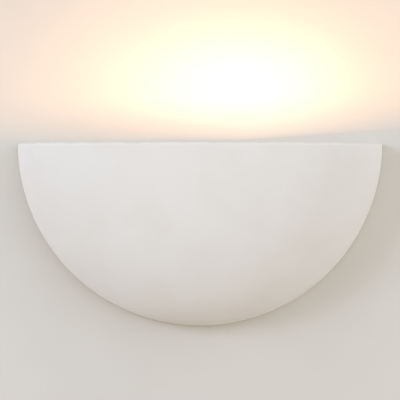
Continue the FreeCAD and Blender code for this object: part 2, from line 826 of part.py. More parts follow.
def flared(curve_points):
    """A solid of revolution about the lamp axis, under a smooth curve through (along, radius) pairs."""
    through = [on_lamp(along, 0, radius) for along, radius in curve_points]
    curve = Part.BSplineCurve()
    curve.interpolate(through)
    corners = [through[-1], on_lamp(curve_points[-1][0]), on_lamp(curve_points[0][0]), through[0]]
    sides = [Part.makeLine(a, b) for a, b in zip(corners, corners[1:])]
    return Part.Face(Part.Wire([curve.toShape(), *sides])).revolve(on_lamp(0), ALONG_X, 360)


def lamp_housing():
    """White moulded housing that flares from the cap to the dome, with a ledge for the LED board."""
    dome_edge = math.sqrt(globe_radius**2 - dome_cut**2)
    span = dome_start - housing_start
    neck = cap_collar_radius - cap_sheet - fit_gap
    flare = [
        (housing_start, neck + 1.2),
        (housing_start + span * 0.2, neck + (dome_edge - neck) * 0.33),
        (housing_start + span * 0.6, neck + (dome_edge - neck) * 0.78),
        (dome_start, dome_edge),
    ]
    outer = flared(flare)
    hollow = flared([(along, radius - housing_wall) for along, radius in flare])
    ledge_start = board_back - housing_wall
    ledge = turned([
        (ledge_start, led_board_radius - 3),
        (ledge_start, dome_edge),
        (board_back, dome_edge),
        (board_back, led_board_radius - 3),
    ]).common(outer)
    plug_start, plug_end = cap_collar_start + 1.3, housing_start + 1
    plug = pipe(neck, neck - housing_wall, on_lamp(plug_start), on_lamp(plug_end))
    recess = rod(led_board_radius + fit_gap, on_lamp(board_back), on_lamp(dome_start))
    return joined([outer.cut(hollow), ledge, plug]).cut(recess)


def lamp_dome():
    """Opal dome: most of a ball, glued to the housing's edge."""
    centre = on_lamp(globe_centre)
    ball = Part.makeSphere(globe_radius, centre).cut(Part.makeSphere(globe_radius - dome_wall, centre))
    reach = (-globe_diameter, globe_diameter)
    return ball.common(lamp_block((dome_start, globe_centre + globe_diameter), reach, reach))


def lamp_led_board():
    return rod(led_board_radius, on_lamp(board_back), on_lamp(board_front))


def lamp_leds():
    made = []
    for n in range(led_count):
        turn = 2 * math.pi * n / led_count
        out, up = led_ring_radius * math.cos(turn), led_ring_radius * math.sin(turn)
        half = led_size / 2
        alongs = (board_front, board_front + led_height)
        made.append(lamp_block(alongs, (out - half, out + half), (up - half, up + half)))
    return group(made)


def lamp_driver_board():
    face, edge = driver_board_thickness / 2, driver_board_width / 2
    return lamp_block((board_back - driver_board_length, board_back), (-face, face), (-edge, edge))


def lamp_leads():
    """One lead from the driver board to the tip, and one to the cap's wall."""
    start = board_back - driver_board_length
    cap_wall = thread_root - cap_sheet - lead_radius
    middle = rod(lead_radius, on_lamp(start), on_lamp(socket_tip))
    side = bent_tube(
        [
            on_lamp(start, 0, driver_board_width / 2 - 1),
            on_lamp(cap_collar_start, 0, cap_wall),
            on_lamp(cap_start + thread_pitch, 0, cap_wall),
        ],
        thread_pitch,
        lead_radius,
    )
    return group([middle, side])


def lamp_driver_parts():
    """What is soldered to the driver board: a reservoir capacitor, a choke, a bridge and a fuse resistor."""
    face, edge = driver_board_thickness / 2, driver_board_width / 2
    start, end = board_back - driver_board_length + 1, board_back - 1.5
    middle = board_back - driver_board_length / 2
    back = -face - capacitor_radius
    capacitor = rod(
        capacitor_radius,
        on_lamp(middle - capacitor_length * 0.3, back, 1.5),
        on_lamp(middle + capacitor_length * 0.7, back, 1.5),
    )
    choke = rod(choke_radius, on_lamp(middle, face, 1.5), on_lamp(middle, face + choke_height, 1.5))
    long, wide, thick = bridge_size
    bridge = lamp_block((end - long, end), (face, face + thick), (1 - edge, 1 - edge + wide))
    beside = face + resistor_radius
    resistor = rod(resistor_radius, on_lamp(start, beside, -2.5), on_lamp(start + resistor_length, beside, -2.5))
    return group([capacitor, choke, bridge, resistor])


# ---- wiring ----
def tube_screw_heights():
    return block_top - block_height + block_screw_inset, block_top - block_screw_inset


def terminal_block():
    """Three-way nylon strip: a bored foot for each pole, with a tower over each screw, and webs between."""
    foot, back = chassis_inner_face, chassis_inner_face + block_depth
    bottom = block_top - block_height
    half = pole_pitch / 2 - 0.4
    pieces, cuts = [], []
    for x in pole_xs:
        pieces.append(block((x - half, x + half), (foot, tube_y + tube_radius), (bottom, block_top)))
        for z in tube_screw_heights():
            pieces.append(rod(half - 0.2, point(x, foot, z), point(x, back, z)))
            cuts.append(rod(small_head_radius + fit_gap, point(x, tube_y, z), point(x, back + 1, z)))
        cuts.append(rod(tube_radius + fit_gap, point(x, tube_y, bottom - 1), point(x, tube_y, block_top + 1)))
    web = (bottom + block_screw_inset, block_top - block_screw_inset)
    pieces.append(block((pole_xs[0], pole_xs[2]), (foot, foot + block_web_depth), web))
    hole = small_screw_radius + fit_gap
    for p in block_screw_points():
        seat, end = p.add(point(0, block_web_depth, 0)), p.add(point(0, block_depth, 0))
        cuts += [rod(hole, p.add(point(0, -1, 0)), seat), rod(small_head_radius + fit_gap, seat, end)]
    return less(joined(pieces), cuts)


def terminal_tubes():
    made = []
    for x in pole_xs:
        low, high = point(x, tube_y, block_top - block_height + 0.5), point(x, tube_y, block_top - 0.5)
        taps = [
            rod(small_screw_radius, point(x, tube_y, z), point(x, tube_y + tube_radius + 1, z))
            for z in tube_screw_heights()
        ]
        made.append(less(pipe(tube_radius, tube_bore, low, high), taps))
    return group(made)


def terminal_screws():
    """Six small screws, driven from the wall side. They end on the wire."""
    heads = [point(x, tube_y + tube_radius, z) for x in pole_xs for z in tube_screw_heights()]
    return group([small_screw(head, ALONG_Y, tube_radius - wire_radius) for head in heads])


def terminal_block_screws():
    length = block_web_depth + chassis_steel + 0.8
    seat = point(0, block_web_depth, 0)
    return group([small_screw(p.add(seat), ALONG_Y, length) for p in block_screw_points()])


def lamp_wire(n):
    """From a pole of the block up behind the chassis front, and out to the lampholder's terminal n."""
    x = pole_xs[n]
    start = block_top - block_height / 2 + 1
    end = lamp_y + terminal_out - terminal_depth / 4 + fit_gap
    route = [point(x, tube_y, start), point(x, tube_y, lamp_z), point(x, end, lamp_z)]
    return bent_tube(route, wire_bend, wire_radius)


def heat_sleeves():
    """Glass-fibre sleeves over both wires where they pass through the grommet to the lampholder."""
    ahead, behind = lamp_y + collar_radius + 0.3, tube_y - wire_bend - 0.2
    return group([
        pipe(sleeve_radius, wire_radius + fit_gap / 2, point(x, ahead, lamp_z), point(x, behind, lamp_z))
        for x in pole_xs[:2]
    ])


def wire_grommet():
    """One rubber grommet with two bores, its groove round the edge of the slot."""
    front, back = -chassis_depth, chassis_inner_face
    waist = grommet_slot(grommet_radius - 1.0 - fit_gap, (front - 1, back + 1))
    flanges = [
        grommet_slot(grommet_radius, (front, front - grommet_flange)),
        grommet_slot(grommet_radius, (back, back + grommet_flange)),
    ]
    bores = [bar_y(sleeve_radius + fit_gap, x, lamp_z, (front - 5, back + 5)) for x in pole_xs[:2]]
    return less(joined([waist, *flanges]), bores)


def on_earth(depth, z):
    """A point in line with the earth screw, so far behind the chassis front."""
    return point(earth_x, chassis_inner_face + depth, z)


def earth_bar(radius, depths):
    """A round bar on the earth screw's axis, between two depths behind the chassis front."""
    return rod(radius, on_earth(depths[0], earth_screw_height), on_earth(depths[1], earth_screw_height))


def earth_wire():
    """From the third pole up to the ring lug."""
    lug_end = lug_top - lug_barrel_length
    route = [
        point(earth_x, tube_y, block_top - block_height / 2 + 1),
        point(earth_x, tube_y, lug_end - earth_wire_leave),
        on_earth(lug_barrel_radius, lug_end - earth_wire_arrive),
        on_earth(lug_barrel_radius, lug_top - 1),
    ]
    return bent_tube(route, wire_bend, wire_radius)


def earth_lug():
    """Ring lug on the chassis' inner face, with its barrel hanging down."""
    ring = earth_bar(m4_head_radius + 0.4, (0, lug_sheet))
    barrel_top = on_earth(lug_barrel_radius, lug_top)
    barrel_end = on_earth(lug_barrel_radius, lug_top - lug_barrel_length)
    half = lug_barrel_radius + 0.3
    neck = block(
        (earth_x - half, earth_x + half),
        (chassis_inner_face, chassis_inner_face + lug_sheet),
        (lug_top - 2, earth_screw_height),
    )
    bore_top = barrel_top.sub(point(0, 0, lug_sheet))
    bore = rod(wire_radius + fit_gap / 2, bore_top, barrel_end.sub(point(0, 0, 1)))
    hole = earth_bar(m4_radius + fit_gap, (-1, lug_sheet + 1))
    return less(joined([ring, neck, rod(lug_barrel_radius, barrel_top, barrel_end)]), [bore, hole])


def earth_screw():
    length = chassis_steel + lug_sheet * 2 + nut_height + screw_end
    return m4_screw(on_earth(-chassis_steel, earth_screw_height), point(0, -1, 0), length)


def star_washer():
    """Toothed washer between the lug and the nut."""
    seat, top = lug_sheet, lug_sheet * 2
    notches = []
    for n in range(washer_teeth):
        turn = 2 * math.pi * n / washer_teeth
        x, z = m4_head_radius * 1.02 * math.cos(turn), m4_head_radius * 1.02 * math.sin(turn)
        ys = (chassis_inner_face, chassis_inner_face + top + 1)
        notches.append(bar_y(0.65, earth_x + x, earth_screw_height + z, ys))
    hole = earth_bar(m4_radius + fit_gap, (0, top + 1))
    return less(earth_bar(m4_head_radius, (seat, top)), [*notches, hole])


def earth_nut():
    return hex_nut(on_earth(2 * lug_sheet, earth_screw_height), ALONG_Y, m4_radius)


# ---- every node, by the name it is kept under ----
nodes = {
    "plaster_bowl": plaster_bowl(),
    "bowl_inserts": bowl_inserts(),
    "hanger_right": hanger(),
    "hanger_left": mirrored(hanger()),
    "hanger_screws": hanger_screws(),
    "wall_strap": wall_strap(),
    "chassis_box": chassis_box(),
    "chassis_screws": chassis_screws(),
    "hook_right": hook(),
    "hook_left": mirrored(hook()),
    "hook_rivets": hook_rivets(),
    "lamp_bracket": lamp_bracket(),
    "lamp_bracket_screws": lamp_bracket_screws(),
    "lamp_bracket_nuts": lamp_bracket_nuts(),
    "lampholder_body": lampholder_body(),
    "lampholder_shell": lampholder_shell(),
    "contact_strip": contact_strip(),
    "contact_leaf": contact_leaf(),
    "lampholder_terminals": lampholder_terminals(),
    "lampholder_terminal_screws": lampholder_terminal_screws(),
    "lampholder_screws": lampholder_screws(),
    "lamp_tip_contact": lamp_tip_contact(),
    "lamp_cap_insulator": lamp_cap_insulator(),
    "lamp_cap": lamp_cap(),
    "lamp_housing": lamp_housing(),
    "lamp_dome": lamp_dome(),
    "lamp_led_board": lamp_led_board(),
    "lamp_leds": lamp_leds(),
    "lamp_driver_board": lamp_driver_board(),
    "lamp_driver_parts": lamp_driver_parts(),
    "lamp_leads": lamp_leads(),
    "terminal_block": terminal_block(),
    "terminal_tubes": terminal_tubes(),
    "terminal_screws": terminal_screws(),
    "terminal_block_screws": terminal_block_screws(),
    "neutral_wire": lamp_wire(0),
    "live_wire": lamp_wire(1),
    "heat_sleeves": heat_sleeves(),
    "wire_grommet": wire_grommet(),
    "earth_wire": earth_wire(),
    "earth_lug": earth_lug(),
    "earth_screw": earth_screw(),
    "earth_star_washer": star_washer(),
    "earth_nut": earth_nut(),
}

os.makedirs("parts", exist_ok=True)
for name, shape in nodes.items():
    shape.exportStep(f"parts/{name}.step")
    print(f"{name}: {len(shape.Solids)} solids, {shape.Volume / 1000:.2f} cm3, valid {shape.isValid()}")
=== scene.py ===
import math
from functools import partial

import bpy
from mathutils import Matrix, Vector


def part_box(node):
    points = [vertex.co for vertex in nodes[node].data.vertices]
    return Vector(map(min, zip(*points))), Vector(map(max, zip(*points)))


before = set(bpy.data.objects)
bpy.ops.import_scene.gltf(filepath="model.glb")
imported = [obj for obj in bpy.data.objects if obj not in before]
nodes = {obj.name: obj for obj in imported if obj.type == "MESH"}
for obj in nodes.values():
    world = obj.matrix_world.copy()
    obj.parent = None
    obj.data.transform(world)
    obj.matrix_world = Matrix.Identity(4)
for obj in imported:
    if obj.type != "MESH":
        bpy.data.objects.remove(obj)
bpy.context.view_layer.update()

mm = 0.001
bowlLow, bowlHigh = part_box("plaster_bowl")
bowlMiddle = (bowlLow + bowlHigh) / 2
bowlHalf = (bowlHigh.x - bowlLow.x) / 2
rimZ = bowlHigh.z
wallY = bowlHigh.y
print("frame loaded:", len(nodes), "nodes")


def linearColour(hexCode):
    # sRGB hex to the linear colour that the shaders mix
    channels = [int(hexCode[i : i + 2], 16) / 255 for i in (1, 3, 5)]
    return (*[c / 12.92 if c <= 0.04045 else ((c + 0.055) / 1.055) ** 2.4 for c in channels], 1.0)


def perMm(size):
    # texture scale that makes one cell this many millimetres
    return 1 / (size * mm)


def addNode(tree, kind, *values, named=None, **settings):
    # the settings come first, as they decide which sockets show, and the values go to those in order;
    # a value that is a node or a socket is linked
    node = tree.nodes.new("ShaderNode" + kind)
    for name, value in settings.items():
        setattr(node, name, value)
    shown = [socket for socket in node.inputs if socket.enabled]
    pairs = list(zip(shown, values)) + [(node.inputs[name], value) for name, value in (named or {}).items()]
    for socket, value in pairs:
        if isinstance(value, bpy.types.Node):
            value = next(output for output in value.outputs if output.enabled)
        if isinstance(value, bpy.types.NodeSocket):
            tree.links.new(value, socket)
        else:
            socket.default_value = linearColour(value) if isinstance(value, str) else value
    return node


def startMaterial(name):
    # an empty material, what adds nodes to it, and the place on the object where its patterns are drawn
    material = bpy.data.materials.new(name)
    material.use_nodes = True
    material.node_tree.nodes.clear()
    add = partial(addNode, material.node_tree)
    return material, add, add("TexCoord").outputs["Object"]


smooth = {"interpolation_type": "SMOOTHSTEP"}  # gives a Map Range node soft shoulders
spread = (0.3, 0.7)  # most of a cloudy value lies between these


def cloudy(add, place, sizeMm, detail=2.0, stretch=(1, 1, 1)):
    # soft value from 0 to 1 that changes over about sizeMm; stretch draws it out along an axis
    drawn = add("VectorMath", place, tuple(1 / s for s in stretch), operation="MULTIPLY")
    return add("TexNoise", drawn, perMm(sizeMm), detail, 0.55)


def relief(add, *layers):
    # each layer is a value and the millimetres that it stands proud
    total = 0.0
    for value, heightMm in layers:
        total = add("Math", value, heightMm * mm, total, operation="MULTIPLY_ADD")
    return add("Bump", named={"Height": total, "Distance": 1.0, "Strength": 1.0})


plaster = {
    "skin": "#ebeae7",
    "cloud": "#e9e7e3",
    "paintedEdgeHighlight": "#f6f3ea",
    "struckBack": "#d8d3c8",
    "dust": "#b9b1a2",
    "dustInside": 0.3,
    "rimShadeStrength": 0.4,
    "roughness": 0.92,
    "cloudMm": 45,
    "waveMm": 70,
    "waveHeight": 0.15,
    "lumpMm": 9,
    "lumpHeight": 0.06,
    "grainMm": 1.2,  # sanding grain is about 0.2 mm, drawn coarser to show
    "grainHeight": 0.035,
    "pinholeEveryMm": 9,
    "pinholeHeight": -0.25,
    "streakMm": 2.2,
    "streakHeight": 0.35,
    "edgeBand": (-14 * mm, -7 * mm),  # from the wall
    "rimBand": (-2.5 * mm, -1 * mm),  # from the top of the rim
    "innerSkin": (0.975, 0.96),  # shares of the way from the ball's middle to its skin
}


def castPlaster():
    # gypsum casting plaster, cast in a mould and sanded: dead matt, warm white, faint clouds, a few pinholes
    material, add, place = startMaterial("castPlaster")
    axes = add("SeparateXYZ", place).outputs
    facing = add("SeparateXYZ", add("TexCoord").outputs["Normal"]).outputs
    clouds = add("MapRange", cloudy(add, place, plaster["cloudMm"], 4), 0.35, 0.7, **smooth)
    skin = add("Mix", clouds, plaster["skin"], plaster["cloud"], data_type="RGBA")

    # the back was struck off flat with a straight edge while wet, and left unsanded
    backward = add("MapRange", facing[1], 0.9, 0.98, **smooth)
    onWall = add("MapRange", axes[1], -1 * mm, -0.5 * mm, **smooth)
    back = add("Math", backward, onWall, operation="MULTIPLY")
    streaks = cloudy(add, place, plaster["streakMm"], 3, (30, 1, 1))
    skin = add("Mix", back, skin, plaster["struckBack"], data_type="RGBA")

    # painted highlight: the edge against the wall is painted whiter than the skin, where it catches light
    # thrown back from the wall
    nearWall = add("MapRange", axes[1], *plaster["edgeBand"], **smooth)
    outward = add("MapRange", facing[1], 0.9, 0.7, **smooth)
    edge = add("Math", nearWall, outward, operation="MULTIPLY")
    skin = add("Mix", edge, skin, plaster["paintedEdgeHighlight"], data_type="RGBA")

    # the bowl is part of a flattened ball, and what lies nearer the ball's middle than its skin is inside
    fromMiddle = add("VectorMath", place, (0, wallY, rimZ), operation="SUBTRACT")
    squeeze = (1 / bowlHalf, 1 / (wallY - bowlLow.y), 1 / bowlHalf)
    onBall = add("VectorMath", fromMiddle, squeeze, operation="MULTIPLY")
    reach = add("VectorMath", onBall, operation="LENGTH")
    inside = add("MapRange", reach, *plaster["innerSkin"], **smooth)

    # dust lies in clouds on what faces up inside, and the top of the rim is darkened with painted shade in the
    # same clouds and colour
    floorFacing = add("MapRange", facing[2], 0.15, 0.95, 0, plaster["dustInside"], **smooth)
    floorDust = add("Math", inside, floorFacing, operation="MULTIPLY")
    rimHeight = add("MapRange", axes[2], *[rimZ + z for z in plaster["rimBand"]], **smooth)
    rimFacing = add("MapRange", facing[2], 0.2, 0.8, 0, plaster["rimShadeStrength"], **smooth)
    rimDust = add("Math", rimHeight, rimFacing, operation="MULTIPLY")
    dustClouds = add("MapRange", cloudy(add, place, 14, 3), *spread, 0.5, 1, **smooth)
    allDust = add("Math", floorDust, rimDust, operation="MAXIMUM")
    dust = add("Math", allDust, dustClouds, operation="MULTIPLY")
    skin = add("Mix", dust, skin, plaster["dust"], data_type="RGBA")

    # each cell has a pit in its middle, and only the cells with a high random value keep it
    cells = add("TexVoronoi", named={"Vector": place, "Scale": perMm(plaster["pinholeEveryMm"])}).outputs
    kept = add("MapRange", add("SeparateColor", cells["Color"]), 0.62, 0.66, **smooth)
    pit = add("MapRange", cells["Distance"], 0.075, 0.03, **smooth)
    pinhole = add("Math", pit, kept, operation="MULTIPLY")
    bump = relief(
        add,
        (cloudy(add, place, plaster["waveMm"], 1), plaster["waveHeight"]),
        (cloudy(add, place, plaster["lumpMm"], 2), plaster["lumpHeight"]),
        (cloudy(add, place, plaster["grainMm"], 3), plaster["grainHeight"]),
        (pinhole, plaster["pinholeHeight"]),
        (add("Math", back, streaks, operation="MULTIPLY"), plaster["streakHeight"]),
    )
    shader = {"Base Color": skin, "Roughness": plaster["roughness"], "Normal": bump}
    shader.update({"IOR": 1.52, "Diffuse Roughness": 0.6})
    add("OutputMaterial", add("BsdfPrincipled", named=shader))
    return material


sheetSteel = {
    "bright": "#c9ccd0",
    "dull": "#c4c0b2",
    "roughness": (0.27, 0.44),
    "patchMm": 14,
    "lineMm": 0.5,
    "lineHeight": 0.012,
    "bowMm": 18,
    "bowHeight": 0.05,
}


def zincSheet(name, along):
    # cold rolled and zinc plated steel: silver, a little blue and straw in patches, with fine rolling lines
    material, add, place = startMaterial(name)
    patches = add("MapRange", cloudy(add, place, sheetSteel["patchMm"], 3), *spread, **smooth)
    colour = add("Mix", patches, sheetSteel["bright"], sheetSteel["dull"], data_type="RGBA")
    lines = cloudy(add, place, sheetSteel["lineMm"], 2, along)
    bow = cloudy(add, place, sheetSteel["bowMm"], 1)
    rough = add("MapRange", cloudy(add, place, 5, 3), 0.25, 0.75, *sheetSteel["roughness"], **smooth)
    bump = relief(add, (lines, sheetSteel["lineHeight"]), (bow, sheetSteel["bowHeight"]))
    shader = {"Base Color": colour, "Metallic": 1.0, "Roughness": rough, "Normal": bump}
    add("OutputMaterial", add("BsdfPrincipled", named=shader))
    return material


fastener = {
    "bright": "#d2d4d6",
    "pickled": "#b9b7ac",
    "roughness": (0.24, 0.42),
    "grainMm": 0.9,
    "grainHeight": 0.02,
}


def zincScrew():
    # cold headed and zinc plated: brighter than the sheet, with the fine grain of the pickling bath
    material, add, place = startMaterial("zincScrew")
    grain = cloudy(add, place, fastener["grainMm"], 3)
    patches = add("MapRange", grain, *spread, **smooth)
    colour = add("Mix", patches, fastener["bright"], fastener["pickled"], data_type="RGBA")
    rough = add("MapRange", grain, 0.2, 0.8, *fastener["roughness"], **smooth)
    bump = relief(add, (grain, fastener["grainHeight"]))
    shader = {"Base Color": colour, "Metallic": 1.0, "Roughness": rough, "Normal": bump}
    add("OutputMaterial", add("BsdfPrincipled", named=shader))
    return material


copperAlloys = {
    "turnedBrass": {"bright": "#cda85c", "dull": "#a8864a", "roughness": (0.26, 0.42)},
    "nickelPlatedBrass": {"bright": "#cbc7bd", "dull": "#b3ab99", "roughness": (0.22, 0.38)},
    "rolledSpringBronze": {"bright": "#c98f5d", "dull": "#a8744a", "roughness": (0.3, 0.46)},
}


def copperAlloy(name):
    # brass or bronze, bare or nickel plated: fine rings round the lamp's axis, and patches of tarnish
    look = copperAlloys[name]
    material, add, place = startMaterial(name)
    rings = cloudy(add, place, 0.45, 2, (1, 40, 40))
    tarnish = add("MapRange", cloudy(add, place, 4, 4), 0.4, 0.75, **smooth)
    colour = add("Mix", tarnish, look["bright"], look["dull"], data_type="RGBA")
    rough = add("MapRange", tarnish, 0, 1, *look["roughness"], **smooth)
    bump = relief(add, (rings, 0.01), (cloudy(add, place, 3, 2), 0.02))
    shader = {"Base Color": colour, "Metallic": 1.0, "Roughness": rough, "Normal": bump}
    add("OutputMaterial", add("BsdfPrincipled", named=shader))
    return material


tinCoats = {
    "solderedTip": {"bright": "#b9b8b5", "bloom": "#94928d"},
    "tinnedCopper": {"bright": "#c6c4be", "bloom": "#a9a296"},
}


def tinCoat(name):
    # dipped in molten tin and wiped: soft lumps and a grey bloom
    look = tinCoats[name]
    material, add, place = startMaterial(name)
    lumps = cloudy(add, place, 1.4, 2)
    colour = add("Mix", lumps, look["bright"], look["bloom"], data_type="RGBA")
    rough = add("MapRange", lumps, *spread, 0.28, 0.48, **smooth)
    bump = relief(add, (lumps, 0.09))
    shader = {"Base Color": colour, "Metallic": 1.0, "Roughness": rough, "Normal": bump}
    add("OutputMaterial", add("BsdfPrincipled", named=shader))
    return material


enamel = {
    "coat": "#edebe6",
    "thin": "#e3e0d9",
    "rawEdge": "#8d8f90",
    "roughness": (0.36, 0.48),
    "peelMm": 1.5,
    "peelHeight": 0.05,
    "edgeBand": (-0.25 * mm, -0.05 * mm),  # from the wall
}


def powderCoat():
    # polyester powder, baked on steel: white, satin, with orange peel, and thinner in clouds
    material, add, place = startMaterial("whitePowderCoat")
    clouds = add("MapRange", cloudy(add, place, 25, 3), 0.35, 0.7, **smooth)
    coat = add("Mix", clouds, enamel["coat"], enamel["thin"], data_type="RGBA")
    # the edge that lies on the wall was sheared after coating and shows bare steel
    depth = add("SeparateXYZ", place).outputs[1]
    edge = add("MapRange", depth, *enamel["edgeBand"], **smooth)
    colour = add("Mix", edge, coat, enamel["rawEdge"], data_type="RGBA")
    peel = cloudy(add, place, enamel["peelMm"], 1)
    rough = add("MapRange", peel, *spread, *enamel["roughness"], **smooth)
    bump = relief(add, (peel, enamel["peelHeight"]), (cloudy(add, place, 12, 1), 0.08))
    shader = {"Base Color": colour, "Metallic": edge, "Roughness": rough, "Normal": bump}
    shader.update({"IOR": 1.5, "Coat Weight": 0.2, "Coat Roughness": 0.25})
    add("OutputMaterial", add("BsdfPrincipled", named=shader))
    return material


porcelain = {
    "glaze": "#efece4",
    "pool": "#e6e1d4",
    "speck": "#8a6f52",
    "speckStrength": 0.6,
    "speckEveryMm": 3.2,
    "roughness": (0.12, 0.2),
    "lightReach": (1.2 * mm, 0.9 * mm, 0.6 * mm),  # of red, green and blue light under the glaze
}


def glazedPorcelain():
    # electrical porcelain, pressed, turned and glazed: cream white, wet looking, iron specks under the glaze
    material, add, place = startMaterial("glazedPorcelain")
    pools = add("MapRange", cloudy(add, place, 16, 2), *spread, **smooth)
    glaze = add("Mix", pools, porcelain["glaze"], porcelain["pool"], data_type="RGBA")
    cells = add("TexVoronoi", named={"Vector": place, "Scale": perMm(porcelain["speckEveryMm"])}).outputs
    chance = add("SeparateColor", cells["Color"]).outputs[1]
    kept = add("MapRange", chance, 0.84, 0.86, 0, porcelain["speckStrength"], **smooth)
    spot = add("MapRange", cells["Distance"], 0.09, 0.05, **smooth)
    speck = add("Math", spot, kept, operation="MULTIPLY")
    colour = add("Mix", speck, glaze, porcelain["speck"], data_type="RGBA")
    rough = add("MapRange", pools, 0, 1, *porcelain["roughness"], **smooth)
    bump = relief(add, (cloudy(add, place, 7, 2), 0.06), (cloudy(add, place, 1.6, 1), 0.008))
    shader = {"Base Color": colour, "Roughness": rough, "Normal": bump, "IOR": 1.5}
    shader.update({"Coat Weight": 0.7, "Coat Roughness": 0.06, "Subsurface Weight": 0.12})
    shader.update({"Subsurface Radius": porcelain["lightReach"], "Subsurface Scale": 1.0})
    add("OutputMaterial", add("BsdfPrincipled", named=shader))
    return material


capGlass = {"black": "#15151a", "flow": "#24242c", "roughness": (0.08, 0.22), "flowMm": 3, "flowHeight": 0.05}


def pressedGlass():
    # black glass, pressed hot into the cap: glossy, with flow marks
    material, add, place = startMaterial("pressedBlackGlass")
    flow = cloudy(add, place, capGlass["flowMm"], 3)
    colour = add("Mix", flow, capGlass["black"], capGlass["flow"], data_type="RGBA")
    rough = add("MapRange", flow, *spread, *capGlass["roughness"], **smooth)
    bump = relief(add, (flow, capGlass["flowHeight"]))
    shader = {"Base Color": colour, "Roughness": rough, "Normal": bump, "IOR": 1.52}
    add("OutputMaterial", add("BsdfPrincipled", named=shader))
    return material


# the mould's spark grain is about 0.05 mm, drawn coarser to show
plainMoulding = {"grainMm": 0.8, "grainHeight": 0.012, "ior": 1.5}
mouldings = {
    "mouldedPbtWhite": {"colour": "#ecebe7", "deeper": "#e2e0da", "roughness": (0.45, 0.58)},
    "whiteSolderMask": {"colour": "#e8e8e4", "deeper": "#d9d9d2", "roughness": (0.3, 0.43)},
    "phosphorSilicone": {"colour": "#e2b23c", "deeper": "#d69c28", "roughness": (0.17, 0.3)},
    "blackEpoxy": {"colour": "#1c1c1f", "deeper": "#2a2a2c", "roughness": (0.35, 0.48)},
    "mouldedNylon": {
        "colour": "#e4dfd0",
        "deeper": "#d8d1bd",
        "roughness": (0.37, 0.5),
        "grainMm": 1.0,
        "grainHeight": 0.01,
        "ior": 1.53,
    },
    "mouldedRubber": {
        "colour": "#1b1b1b",
        "deeper": "#262524",
        "roughness": (0.57, 0.7),
        "grainMm": 0.7,
        "grainHeight": 0.03,
    },
}


def moulding(name):
    # moulded or cast in one colour: even, with faint flow clouds, and the fine grain of the mould
    look = {**plainMoulding, **mouldings[name]}
    material, add, place = startMaterial(name)
    flow = add("MapRange", cloudy(add, place, 12, 3), *spread, **smooth)
    colour = add("Mix", flow, look["colour"], look["deeper"], data_type="RGBA")
    grain = cloudy(add, place, look["grainMm"], 2)
    rough = add("MapRange", grain, *spread, *look["roughness"], **smooth)
    bump = relief(add, (grain, look["grainHeight"]), (cloudy(add, place, 9, 1), 0.03))
    shader = {"Base Color": colour, "Roughness": rough, "Normal": bump, "IOR": look["ior"]}
    add("OutputMaterial", add("BsdfPrincipled", named=shader))
    return material


dome = {
    "opal": "#e9dcc6",
    "cloud": "#e2d3ba",
    "roughness": 0.38,
    "glow": "#ffd7a3",
    "glowStrength": 1.1,
    "edgeStrength": 0.385,
    "brightFrom": 0.45,  # share of the dome's length
}


def opalDome():
    # polycarbonate moulded with a white diffuser in it and sand blasted inside: lit, warm, brightest in front
    material, add, place = startMaterial("opalPolycarbonate")
    colour = add("Mix", cloudy(add, place, 8, 2), dome["opal"], dome["cloud"], data_type="RGBA")
    # the boards stand behind the dome's edge, so the light fades over the last few millimetres there
    domeLow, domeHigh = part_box("lamp_dome")
    brightFrom = domeLow.x + (domeHigh.x - domeLow.x) * dome["brightFrom"]
    along = add("SeparateXYZ", place).outputs[0]
    strengths = (dome["edgeStrength"], dome["glowStrength"])
    lit = add("MapRange", along, domeLow.x, brightFrom, *strengths, **smooth)
    bump = relief(add, (cloudy(add, place, 0.9, 1), 0.012))
    shader = {"Base Color": colour, "Roughness": dome["roughness"], "Normal": bump, "IOR": 1.585}
    shader.update({"Emission Color": dome["glow"], "Emission Strength": lit})
    add("OutputMaterial", add("BsdfPrincipled", named=shader))
    return material


board = {"mask": "#1c5a30", "track": "#2f7a46", "roughness": (0.25, 0.4), "trackMm": 2.5, "trackHeight": 0.03}


def circuitBoard():
    # glass epoxy laminate under green mask: copper tracks show as lighter bands
    material, add, place = startMaterial("solderMask")
    bricks = {"Vector": place, "Scale": perMm(board["trackMm"]), "Mortar Size": 0.08}
    tracks = add("TexBrick", named=bricks, offset=0.5).outputs["Fac"]
    colour = add("Mix", tracks, board["mask"], board["track"], data_type="RGBA")
    rough = add("MapRange", cloudy(add, place, 2, 2), *spread, *board["roughness"], **smooth)
    bump = relief(add, (tracks, board["trackHeight"]))
    shader = {"Base Color": colour, "Roughness": rough, "Normal": bump, "IOR": 1.55}
    add("OutputMaterial", add("BsdfPrincipled", named=shader))
    return material


wires = {
    "bluePvc": {"colour": "#1f4f9c", "deeper": "#1b4489"},
    "brownPvc": {"colour": "#6a4227", "deeper": "#5a3620"},
    "greenYellowPvc": {"colour": "#2f8a3a", "deeper": "#2a7a34", "stripe": "#e3c92b"},
}


def drawnPvc(name):
    # PVC drawn over stranded copper: smooth, half gloss, the strands just felt through it
    look = wires[name]
    material, add, place = startMaterial(name)
    colour = add("Mix", cloudy(add, place, 5, 2), look["colour"], look["deeper"], data_type="RGBA")
    if "stripe" in look:
        sideways = add("SeparateXYZ", add("TexCoord").outputs["Normal"]).outputs[0]
        stripe = add("MapRange", add("Math", sideways, operation="ABSOLUTE"), 0.52, 0.58, **smooth)
        colour = add("Mix", stripe, colour, look["stripe"], data_type="RGBA")
    rough = add("MapRange", cloudy(add, place, 3, 2), *spread, 0.3, 0.42, **smooth)
    bump = relief(add, (cloudy(add, place, 0.9, 1, (1, 1, 8)), 0.02))
    shader = {"Base Color": colour, "Roughness": rough, "Normal": bump, "IOR": 1.53}
    add("OutputMaterial", add("BsdfPrincipled", named=shader))
    return material


sleeve = {"strand": "#e2ddcf", "gap": "#a79f8d", "roughness": 0.55, "weaveMm": 1.4, "weaveHeight": 0.05}


